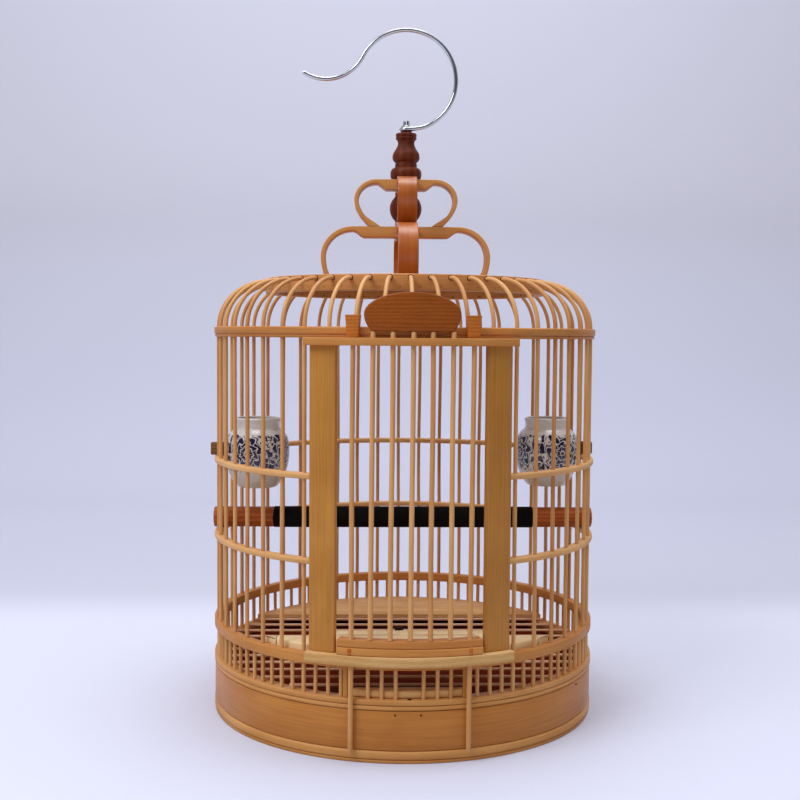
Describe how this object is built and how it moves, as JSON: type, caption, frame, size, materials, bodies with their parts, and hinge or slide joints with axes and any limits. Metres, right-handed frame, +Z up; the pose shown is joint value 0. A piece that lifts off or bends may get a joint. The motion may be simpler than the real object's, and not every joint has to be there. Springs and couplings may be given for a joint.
{
  "type": "bamboo bird cage",
  "caption": "Round bamboo bird cage with a rodded dome, a door that slides up, hanging cups, a perch, a crown of bent strips and a swivelling steel hook.",
  "frame": {"origin": "centre of the bounding box on the plane that the foot hoop stands on", "axes": "+Z up along the cage's axis to the hook, -Y towards the door, +X to the right seen from the door"},
  "size_m": [0.339, 0.3396, 0.591],
  "materials": {
    "bamboo": "satin peeled bamboo",
    "bamboo_slip": "satin yellow bamboo",
    "base_wood": "clear satin varnish",
    "pale_wood": "plain planed wood",
    "red_wood": "satin red-brown stain",
    "dark_wood": "satin dark stain",
    "maroon_board": "dull maroon stain",
    "emery": "matt black emery cloth",
    "porcelain": "clear glaze",
    "steel": "polished wire"
  },
  "bodies": {
    "cage": {"base_band": "base_wood", "base_rim": "bamboo", "bead_hoop": "base_wood", "bottom_board": "maroon_board", "crown_ball": "dark_wood", "finial": "dark_wood", "floor_rod_01": "bamboo", "floor_rod_02": "bamboo", "floor_rod_03": "bamboo", "floor_rod_04": "bamboo", "floor_rod_05": "bamboo", "floor_rod_06": "bamboo", "floor_rod_07": "bamboo", "floor_rod_08": "bamboo", "floor_rod_09": "bamboo", "floor_rod_10": "bamboo", "floor_rod_11": "bamboo", "foot_hoop": "base_wood", "gallery_slip_left": "bamboo_slip", "gallery_slip_right": "bamboo_slip", "grate_front_board": "pale_wood", "lintel": "bamboo", "lower_crown_strip_x": "bamboo", "lower_crown_strip_y": "bamboo", "lower_hoop": "bamboo", "lower_mid_hoop": "bamboo", "rear_floor_board": "pale_wood", "shoulder_hoop": "bamboo", "sill_board": "pale_wood", "stile_left": "bamboo_slip", "stile_right": "bamboo_slip", "swivel_pin": "steel", "threshold_board": "pale_wood", "top_board": "base_wood", "top_ring": "base_wood", "upper_crown_strip_x": "bamboo", "upper_crown_strip_y": "bamboo", "upper_mid_hoop": "bamboo"},
    "door": {"door_bar_1": "bamboo", "door_bar_2": "bamboo", "door_bar_3": "bamboo", "door_bar_4": "bamboo", "door_bar_5": "bamboo", "door_bar_6": "bamboo", "door_bar_7": "bamboo", "door_head_left": "red_wood", "door_head_right": "red_wood", "door_plaque": "red_wood", "door_rail": "bamboo"},
    "hook": {"hook": "steel"},
    "perch": {"perch": "red_wood", "perch_sleeve": "emery"},
    "cup_left": {"cup_left": "porcelain", "cup_lug_left": "red_wood"},
    "cup_right": {"cup_right": "porcelain", "cup_lug_right": "red_wood"}
  },
  "joints": [
    {"name": "door_slide", "type": "slide", "parent": "cage", "child": "door", "axis": [0, 0, 1], "range_m": [0, 0.2205]},
    {"name": "hook_swivel", "type": "hinge", "parent": "cage", "child": "hook", "pos_m": [0, 0.00413, 0.5035], "axis": [0, 0, 1], "continuous": true},
    {"name": "perch_lift", "type": "slide", "parent": "cage", "child": "perch", "axis": [0, 0, 1], "range_m": [0, 0.015]},
    {"name": "cup_left_lift", "type": "slide", "parent": "cage", "child": "cup_left", "axis": [0, 0, 1], "range_m": [0, 0.06]},
    {"name": "cup_right_lift", "type": "slide", "parent": "cage", "child": "cup_right", "axis": [0, 0, 1], "range_m": [0, 0.06]}
  ]
}
